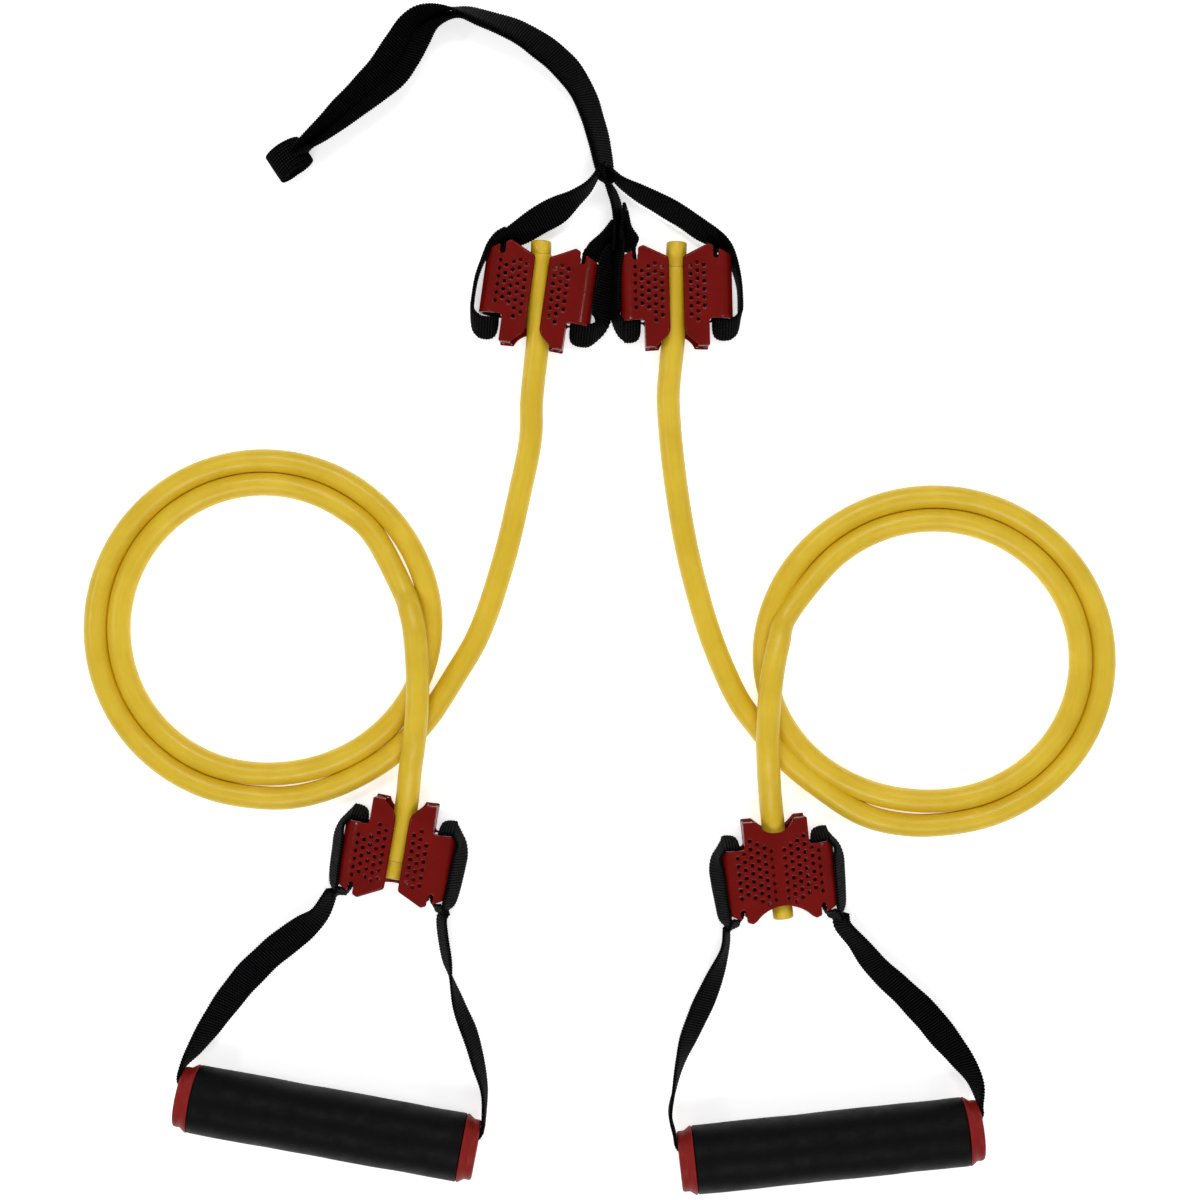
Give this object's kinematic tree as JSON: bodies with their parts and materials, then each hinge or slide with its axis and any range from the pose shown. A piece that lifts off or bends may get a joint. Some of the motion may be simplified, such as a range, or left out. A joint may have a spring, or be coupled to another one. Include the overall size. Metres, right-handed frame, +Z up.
{
  "type": "resistance band",
  "caption": "Tubing resistance band laid flat: coiled latex tubes, hinged jaw clamps with webbing loops, foam stirrup handles and a door anchor strap.",
  "frame": {"origin": "on the surface that everything lies on, at the middle of the outline without the tubes", "axes": "+Z up from that surface; +Y from the two handles towards the door anchor; +X to the right in plan, with the handles at the bottom"},
  "size_m": [0.4822, 0.5533, 0.0312],
  "materials": {
    "latex_tube": "satin translucent natural latex, yellow",
    "latex_plug": "satin moulded rubber, yellow",
    "clamp_plastic": "gloss injection moulding, dark red",
    "cap_plastic": "gloss injection moulding, dark red",
    "webbing": "ribbed nylon webbing, black",
    "grip_foam": "smooth-skinned closed-cell foam, black",
    "core_plastic": "extruded tube, grey",
    "stopper_core": "plain plastic, grey"
  },
  "bodies": {
    "root": {"left_tube_lead": "latex_tube", "left_tube_coil": "latex_tube", "left_tube_tail": "latex_tube", "right_tube_lead": "latex_tube", "right_tube_coil": "latex_tube", "right_tube_tail": "latex_tube", "left_tube_anchor_plug": "latex_plug", "left_tube_handle_plug": "latex_plug", "right_tube_anchor_plug": "latex_plug", "right_tube_handle_plug": "latex_plug", "left_anchor_clamp_hinge": "clamp_plastic", "right_anchor_clamp_hinge": "clamp_plastic", "left_handle_clamp_hinge": "clamp_plastic", "right_handle_clamp_hinge": "clamp_plastic", "anchor_branch_left": "webbing", "anchor_branch_mid_left": "webbing", "anchor_branch_mid_right": "webbing", "anchor_branch_right": "webbing", "anchor_junction": "webbing", "left_handle_tail_a": "webbing", "left_handle_tail_b": "webbing", "right_handle_tail_a": "webbing", "right_handle_tail_b": "webbing"},
    "anchor_strap": {"anchor_strap_outer": "webbing", "anchor_strap_inner": "webbing", "stopper_core": "stopper_core", "stopper_wrap": "webbing"},
    "left_anchor_jaw_a": {"left_anchor_clamp_jaw_a": "clamp_plastic", "left_anchor_loop_a": "webbing"},
    "left_anchor_jaw_b": {"left_anchor_clamp_jaw_b": "clamp_plastic", "left_anchor_loop_b": "webbing"},
    "right_anchor_jaw_a": {"right_anchor_clamp_jaw_a": "clamp_plastic", "right_anchor_loop_a": "webbing"},
    "right_anchor_jaw_b": {"right_anchor_clamp_jaw_b": "clamp_plastic", "right_anchor_loop_b": "webbing"},
    "left_handle_jaw_a": {"left_handle_clamp_jaw_a": "clamp_plastic", "left_handle_loop_a": "webbing"},
    "left_handle_jaw_b": {"left_handle_clamp_jaw_b": "clamp_plastic", "left_handle_loop_b": "webbing"},
    "right_handle_jaw_a": {"right_handle_clamp_jaw_a": "clamp_plastic", "right_handle_loop_a": "webbing"},
    "right_handle_jaw_b": {"right_handle_clamp_jaw_b": "clamp_plastic", "right_handle_loop_b": "webbing"},
    "left_handle": {"left_handle_leg_a": "webbing", "left_handle_leg_b": "webbing", "left_handle_core_strap": "webbing"},
    "left_grip": {"left_grip_foam": "grip_foam", "left_grip_core": "core_plastic", "left_grip_cap_a": "cap_plastic", "left_grip_cap_b": "cap_plastic"},
    "right_handle": {"right_handle_leg_a": "webbing", "right_handle_leg_b": "webbing", "right_handle_core_strap": "webbing"},
    "right_grip": {"right_grip_foam": "grip_foam", "right_grip_core": "core_plastic", "right_grip_cap_a": "cap_plastic", "right_grip_cap_b": "cap_plastic"}
  },
  "joints": [
    {"name": "left_anchor_jaw_b_open", "type": "hinge", "parent": "root", "child": "left_anchor_jaw_b", "pos_m": [-0.019, 0.1404, 0.00125], "axis": [0.1392, 0.9903, 0], "range_deg": [0, 7], "stiffness_Nm_per_rad": 0.2},
    {"name": "left_anchor_jaw_a_open", "type": "hinge", "parent": "root", "child": "left_anchor_jaw_a", "pos_m": [-0.019, 0.1404, 0.00125], "axis": [-0.1392, -0.9903, 0], "range_deg": [0, 7], "stiffness_Nm_per_rad": 0.2},
    {"name": "right_anchor_jaw_b_open", "type": "hinge", "parent": "root", "child": "right_anchor_jaw_b", "pos_m": [0.0455, 0.1402, 0.00125], "axis": [-0.0262, 0.9997, 0], "range_deg": [0, 7], "stiffness_Nm_per_rad": 0.2},
    {"name": "right_anchor_jaw_a_open", "type": "hinge", "parent": "root", "child": "right_anchor_jaw_a", "pos_m": [0.0455, 0.1402, 0.00125], "axis": [0.0262, -0.9997, 0], "range_deg": [0, 7], "stiffness_Nm_per_rad": 0.2},
    {"name": "left_handle_jaw_b_open", "type": "hinge", "parent": "root", "child": "left_handle_jaw_b", "pos_m": [-0.0838, -0.1172, 0.00125], "axis": [-0.165, -0.9863, 0], "range_deg": [0, 7], "stiffness_Nm_per_rad": 0.2},
    {"name": "left_handle_jaw_a_open", "type": "hinge", "parent": "root", "child": "left_handle_jaw_a", "pos_m": [-0.0838, -0.1172, 0.00125], "axis": [0.165, 0.9863, 0], "range_deg": [0, 7], "stiffness_Nm_per_rad": 0.2},
    {"name": "right_handle_jaw_b_open", "type": "hinge", "parent": "root", "child": "right_handle_jaw_b", "pos_m": [0.0932, -0.1256, 0.01725], "axis": [0.1045, -0.9945, 0], "range_deg": [0, 7], "stiffness_Nm_per_rad": 0.2},
    {"name": "right_handle_jaw_a_open", "type": "hinge", "parent": "root", "child": "right_handle_jaw_a", "pos_m": [0.0932, -0.1256, 0.01725], "axis": [-0.1045, 0.9945, 0], "range_deg": [0, 7], "stiffness_Nm_per_rad": 0.2},
    {"name": "left_handle_swing", "type": "hinge", "parent": "root", "child": "left_handle", "pos_m": [-0.092, -0.15325, 0.00925], "axis": [-0.9815, 0.1913, 0], "range_deg": [0, 90]},
    {"name": "left_grip_spin", "type": "hinge", "parent": "left_handle", "child": "left_grip", "pos_m": [-0.116, -0.243, 0.0156], "axis": [0.9839, -0.1788, 0], "continuous": true},
    {"name": "right_handle_swing", "type": "hinge", "parent": "root", "child": "right_handle", "pos_m": [0.096, -0.165, 0.00925], "axis": [-0.978, -0.2084, 0], "range_deg": [0, 90]},
    {"name": "right_grip_spin", "type": "hinge", "parent": "right_handle", "child": "right_grip", "pos_m": [0.1165, -0.2535, 0.0156], "axis": [0.9945, 0.1045, 0], "continuous": true},
    {"name": "anchor_strap_lift", "type": "hinge", "parent": "root", "child": "anchor_strap", "pos_m": [0.0115, 0.203, 0.00925], "axis": [1, 0, 0], "range_deg": [0, 90]}
  ],
  "couplings": [
    {"joint": "left_anchor_jaw_a_open", "follows": "left_anchor_jaw_b_open", "ratio": 1},
    {"joint": "right_anchor_jaw_a_open", "follows": "right_anchor_jaw_b_open", "ratio": 1},
    {"joint": "left_handle_jaw_a_open", "follows": "left_handle_jaw_b_open", "ratio": 1},
    {"joint": "right_handle_jaw_a_open", "follows": "right_handle_jaw_b_open", "ratio": 1}
  ]
}
